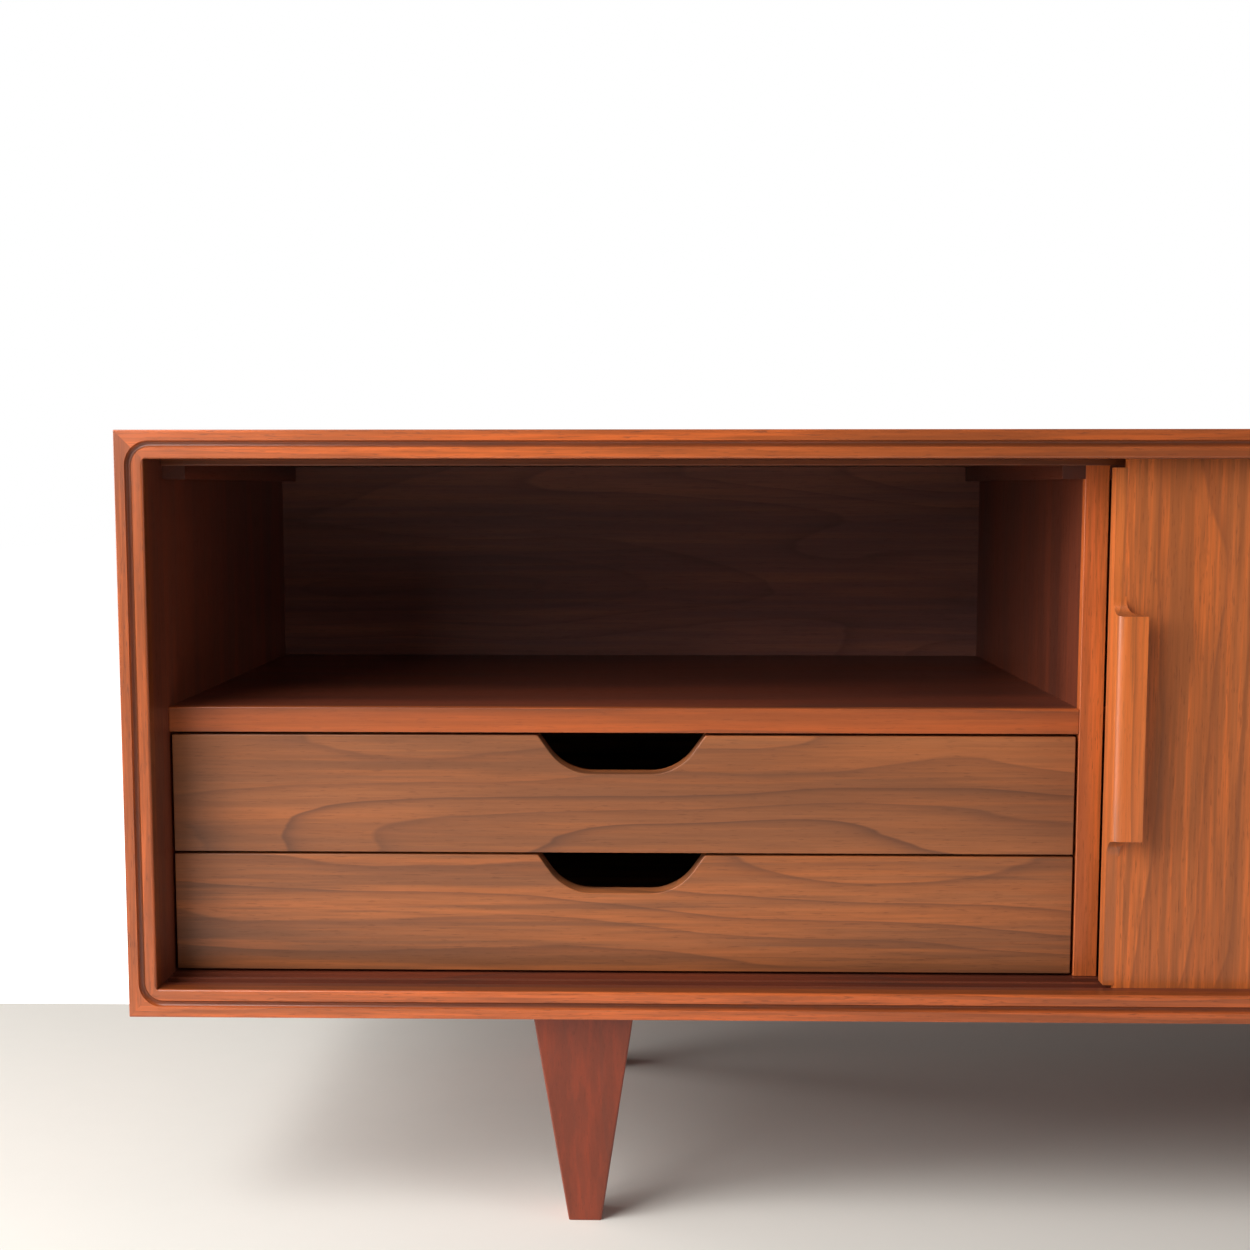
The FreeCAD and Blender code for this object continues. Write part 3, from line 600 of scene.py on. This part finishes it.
class SIDEBOARD_OT_boards(bpy.types.Operator):
    """Finish the case boards, the divider, the shelves, the back and the cleats"""
    bl_idname = "sideboard.boards"
    bl_label = "Case boards"

    def execute(self, context):
        shape, colours = context.scene.sideboard_shape, context.scene.sideboard_colours
        for seed, (side, way) in enumerate(SIDES.items()):
            node = side + "_panel"
            grain = "Z" if way.z == 0 else "X"
            dress(node, walnut(node, colours.case, grain, seed + 11, swirl=2.5, lines=24))
        dress("divider", walnut("divider", colours.case, "Z", 17, swirl=1.6, lines=26))
        dress("back_panel", walnut("back_panel", colours.back, "X", 19, swirl=5, lines=12, line_depth=0.4,
                                   roughness=0.5, coat=0.05))
        for seed, node in enumerate(("bay_shelf", "cupboard_shelf")):
            dress(node, walnut(node, colours.case, "X", seed + 21, swirl=2, lines=24))
            front = node + "_lipping"
            wood = walnut(front, colours.lipping, "X", seed + 24, swirl=1.5, lines=45, line_depth=0.45,
                          shade=0.85)
            eased_copy(front, wood, "lipping_walnut", shape.arris, [("Y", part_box(front)[1].y)])
        wood = walnut("divider_lipping", colours.lipping, "Z", 27, swirl=0.8, lines=40, line_depth=0.2,
                      speckle=0.6, shade=1.3)
        joints = [("Y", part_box("divider_lipping")[1].y)]
        eased_copy("divider_lipping", wood, "lipping_walnut", shape.arris, joints)
        # Painted shade: the top track lip's wood is painted much darker, for the shade it sits in under the
        # top.
        wood = walnut("top_track_lip", colours.lipping, "X", 28, swirl=1, lines=40, shade=0.35)
        joints = [("Z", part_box("top_track_lip")[1].z)]
        eased_copy("top_track_lip", wood, "lipping_walnut", shape.arris, joints)
        for seed, node in enumerate(name for name in frame["nodes"] if name.endswith("_cleat")):
            wood = walnut(node, colours.case, "Y", seed + 31, swirl=1, lines=40)
            eased_copy(node, wood, "case_walnut", shape.arris, [("Z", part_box(node)[1].z)])
        joinery = walnut("joinery", colours.inner, "X", 37, swirl=1, lines=60)
        for node in ("corner_splines", "divider_dowels", "bay_shelf_dowels"):
            dress(node, joinery)
        return {"FINISHED"}


DRAWER_PARTS = {"left_side": "Y", "right_side": "Y", "back": "X", "tray": "X"}


class SIDEBOARD_OT_drawers(bpy.types.Operator):
    """Make the drawer fronts with their scooped hand holds, and finish the boxes and runners"""
    bl_idname = "sideboard.drawers"
    bl_label = "Drawers"

    def execute(self, context):
        shape, colours = context.scene.sideboard_shape, context.scene.sideboard_colours
        figures = {"upper": {"swirl": 6.5, "lines": 20, "seed": 47, "line_depth": 0.7, "streaks": 0.45},
                   "lower": {"swirl": 4.2, "lines": 44, "seed": 44, "line_depth": 0.6, "streaks": 0.75}}
        for level, figure in figures.items():
            front = level + "_drawer_front"
            wood = walnut(front, colours.drawer, "X", **figure, speckle=0.4, roughness=0.42, coat=0.12)
            eased_copy(front, wood, "drawer_walnut", shape.arris, [("Y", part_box(front)[1].y)])
            for seed, (part, grain) in enumerate(DRAWER_PARTS.items()):
                node = f"{level}_drawer_{part}"
                wood = walnut(node, colours.inner, grain, figure["seed"] + 5 + seed, swirl=1, lines=50,
                              line_depth=0.2, roughness=0.5, coat=0.0)
                if part == "tray":
                    dress(node, wood)
                else:
                    low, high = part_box(node)
                    joints = [("Y", low.y)]
                    if part == "back":
                        joints += [("Y", high.y), ("X", low.x), ("X", high.x)]
                    eased_copy(node, wood, "inner_wood", shape.arris, joints)
            for side in ("left", "right"):
                node = f"{level}_{side}_runner"
                dress(node, walnut(node, colours.inner, "Y", figure["seed"] + 9, swirl=1, lines=60,
                                   line_depth=0.2))
        return {"FINISHED"}


DOOR_FIGURES = {
    "panel": {"swirl": 3.2, "lines": 34, "length": 0.8, "line_depth": 0.5, "streaks": 0.85, "speckle": 0.5},
    "edging": {"swirl": 0.8, "lines": 60, "line_depth": 0.3},
    "stile": {"swirl": 1.0, "lines": 60, "line_depth": 0.5, "streaks": 0.7, "coat": 0.5, "roughness": 0.3},
}


class SIDEBOARD_OT_doors(bpy.types.Operator):
    """Make the two sliding doors: panels, edgings, and stiles with their pulls"""
    bl_idname = "sideboard.doors"
    bl_label = "Sliding doors"

    def execute(self, context):
        shape, colours = context.scene.sideboard_shape, context.scene.sideboard_colours
        for seed, side in enumerate(("left", "right")):
            for count, (part, figure) in enumerate(DOOR_FIGURES.items()):
                node = f"{side}_door_{part}"
                wood = walnut(node, colours.door, "Z", 51 + 7 * seed + count, **figure)
                radius = shape.hand_edge if part == "stile" else 0.4 * shape.arris
                eased_copy(node, wood, "door_walnut", radius, [])
        return {"FINISHED"}


class SIDEBOARD_OT_legs(bpy.types.Operator):
    """Finish the four tapered legs"""
    bl_idname = "sideboard.legs"
    bl_label = "Legs"

    def execute(self, context):
        shape, colours = context.scene.sideboard_shape, context.scene.sideboard_colours
        for seed, place in enumerate(("front_left", "front_right", "rear_left", "rear_right")):
            node = place + "_leg"
            wood = walnut(node, colours.leg, "Z", 71 + seed, swirl=0.9, lines=40, line_depth=0.25,
                          streaks=0.35, speckle=0.3, roughness=0.4, coat=0.15)
            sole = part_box(node)[0].z
            bm = merged_copy(node)
            foot = [edge for edge in bm.edges if on_plane(edge, "Z", sole)]
            ease(bm, foot, shape.leg_edge)
            finished_piece("eased_" + node, bm, "case", "leg_walnut", wood, node)
        return {"FINISHED"}


class SIDEBOARD_OT_fixings(bpy.types.Operator):
    """Finish the bolts, screws and shelf pins"""
    bl_idname = "sideboard.fixings"
    bl_label = "Fixings"

    def execute(self, context):
        colours = context.scene.sideboard_colours
        steel = metal("steel", colours.steel, 0.35)
        for node in (name for name in frame["nodes"] if name.endswith(("_screws", "_bolts"))):
            dress(node, steel)
        dress("shelf_pins", metal("brass", colours.brass, 0.28))
        return {"FINISHED"}


class SIDEBOARD_OT_stage(bpy.types.Operator):
    """Set the floor, the white ground behind it, the lights and the camera"""
    bl_idname = "sideboard.stage"
    bl_label = "Stage"

    def execute(self, context):
        stage = context.scene.sideboard_stage
        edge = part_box("top_panel")[1].y + stage.wall_gap
        floor = flat_sheet("floor", FLOOR_SPAN, (FLOOR_NEAR, edge))
        floor.data.materials.append(plain_stage("floor", stage.floor, 0.55, 0.12))
        beyond = flat_sheet("backdrop", BEYOND_SPAN, (edge, BEYOND_FAR))
        beyond.data.materials.append(plain_stage("backdrop", stage.backdrop, 0.8, 0.0, stage.glow))
        set_world(context.scene)
        for name, (turn, rise, power, near) in LIGHTS.items():
            if near:
                add_light(name, turn, rise, power, stage.near_target, stage.near_reach, stage.near_size)
            else:
                add_light(name, turn, rise, power, stage.target, stage.light_reach, stage.light_size)
        camera = bpy.data.objects.new("camera", bpy.data.cameras.new("camera"))
        camera.data.lens = stage.lens / MM
        camera.data.sensor_width = 36
        camera.data.clip_start = 0.02
        camera.location = stage.eye
        camera.rotation_euler = (math.pi / 2 + stage.pitch, 0, stage.yaw)
        context.scene.collection.objects.link(camera)
        context.scene.camera = camera
        context.scene.view_settings.view_transform = "Standard"
        return {"FINISHED"}


FLOOR_SPAN = (-3.5, 3.5)
FLOOR_NEAR = -3.0
BEYOND_SPAN = (-7, 7)
BEYOND_FAR = 40

# Soft lights round the left end of the case: degrees to the right of straight ahead, degrees up,
# power, and whether it is one of the near ones.
LIGHTS = {
    "side": (-75, 12, 79.2, False),
    "edge": (-100, 12, 50.7, False),
    "key": (-50, 48, 26.5, False),
    "fill": (60, 12, 20.2, False),
    "fill_high": (60, 48, 10.0, False),
    "near_side": (-60, 25, 14.7, True),
    "near_high": (-35, 50, 13.5, True),
    "near_front": (-35, 25, 8.0, True),
}


def flat_sheet(name, x_range, y_range):
    """A flat sheet on the ground."""
    bm = bmesh.new()
    centre = ((x_range[0] + x_range[1]) / 2, (y_range[0] + y_range[1]) / 2, 0)
    spans = (x_range[1] - x_range[0], y_range[1] - y_range[0], 1, 1)
    bmesh.ops.create_grid(bm, x_segments=1, y_segments=1, size=0.5,
                          matrix=Matrix.Translation(centre) @ Matrix.Diagonal(spans))
    mesh = bpy.data.meshes.new(name)
    bm.to_mesh(mesh)
    bm.free()
    sheet = bpy.data.objects.new(name, mesh)
    bpy.context.scene.collection.objects.link(sheet)
    return sheet


def set_world(scene):
    """A white surround for the camera, which hardly lights the room."""
    world = bpy.data.worlds.new("surround")
    world.use_nodes = True
    tree = world.node_tree
    tree.nodes.clear()
    path = tree.nodes.new("ShaderNodeLightPath")
    dim, bright = tree.nodes.new("ShaderNodeBackground"), tree.nodes.new("ShaderNodeBackground")
    dim.inputs["Strength"].default_value = 0.02
    bright.inputs["Color"].default_value = (1, 1, 1, 1)
    dim.inputs["Color"].default_value = (1, 1, 1, 1)
    choice, output = tree.nodes.new("ShaderNodeMixShader"), tree.nodes.new("ShaderNodeOutputWorld")
    tree.links.new(path.outputs["Is Camera Ray"], choice.inputs[0])
    tree.links.new(dim.outputs[0], choice.inputs[1])
    tree.links.new(bright.outputs[0], choice.inputs[2])
    tree.links.new(choice.outputs[0], output.inputs[0])
    scene.world = world


def add_light(name, turn, rise, power, target, reach, size):
    """A soft square light that shines at a target from a distance."""
    light = bpy.data.lights.new(name, "AREA")
    light.size = size
    light.energy = power
    turn, rise = math.radians(turn), math.radians(rise)
    way = Vector((math.cos(rise) * math.sin(turn), -math.cos(rise) * math.cos(turn), math.sin(rise)))
    lamp = bpy.data.objects.new(name, light)
    lamp.location = Vector(target) + way * reach
    lamp.rotation_euler = way.to_track_quat("Z", "Y").to_euler()
    bpy.context.scene.collection.objects.link(lamp)


# ---------------------------------------------------------------- panel and registration

STEPS = (SIDEBOARD_OT_lippings, SIDEBOARD_OT_boards, SIDEBOARD_OT_drawers, SIDEBOARD_OT_doors,
         SIDEBOARD_OT_legs, SIDEBOARD_OT_fixings, SIDEBOARD_OT_stage)
SETTINGS = {"sideboard_shape": SideboardShape, "sideboard_colours": SideboardColours,
            "sideboard_stage": SideboardStage}


class SIDEBOARD_PT_panel(bpy.types.Panel):
    """Lists the steps that finish the sideboard, and their settings"""
    bl_idname = "SIDEBOARD_PT_panel"
    bl_label = "Sideboard"
    bl_space_type = "VIEW_3D"
    bl_region_type = "UI"
    bl_category = "Sideboard"

    def draw(self, context):
        for step in STEPS:
            self.layout.operator(step.bl_idname)
        for setting, group in SETTINGS.items():
            box = self.layout.box()
            for name in group.__annotations__:
                box.prop(getattr(context.scene, setting), name)


CLASSES = (*SETTINGS.values(), *STEPS, SIDEBOARD_PT_panel)


def register():
    for item in CLASSES:
        bpy.utils.register_class(item)
    for setting, group in SETTINGS.items():
        setattr(bpy.types.Scene, setting, PointerProperty(type=group))


def unregister():
    for setting in SETTINGS:
        delattr(bpy.types.Scene, setting)
    for item in reversed(CLASSES):
        bpy.utils.unregister_class(item)


def main():
    register()
    bpy.ops.sideboard.lippings()
    bpy.ops.sideboard.boards()
    bpy.ops.sideboard.drawers()
    bpy.ops.sideboard.doors()
    bpy.ops.sideboard.legs()
    bpy.ops.sideboard.fixings()
    bpy.ops.sideboard.stage()


if __name__ == "__main__":
    main()
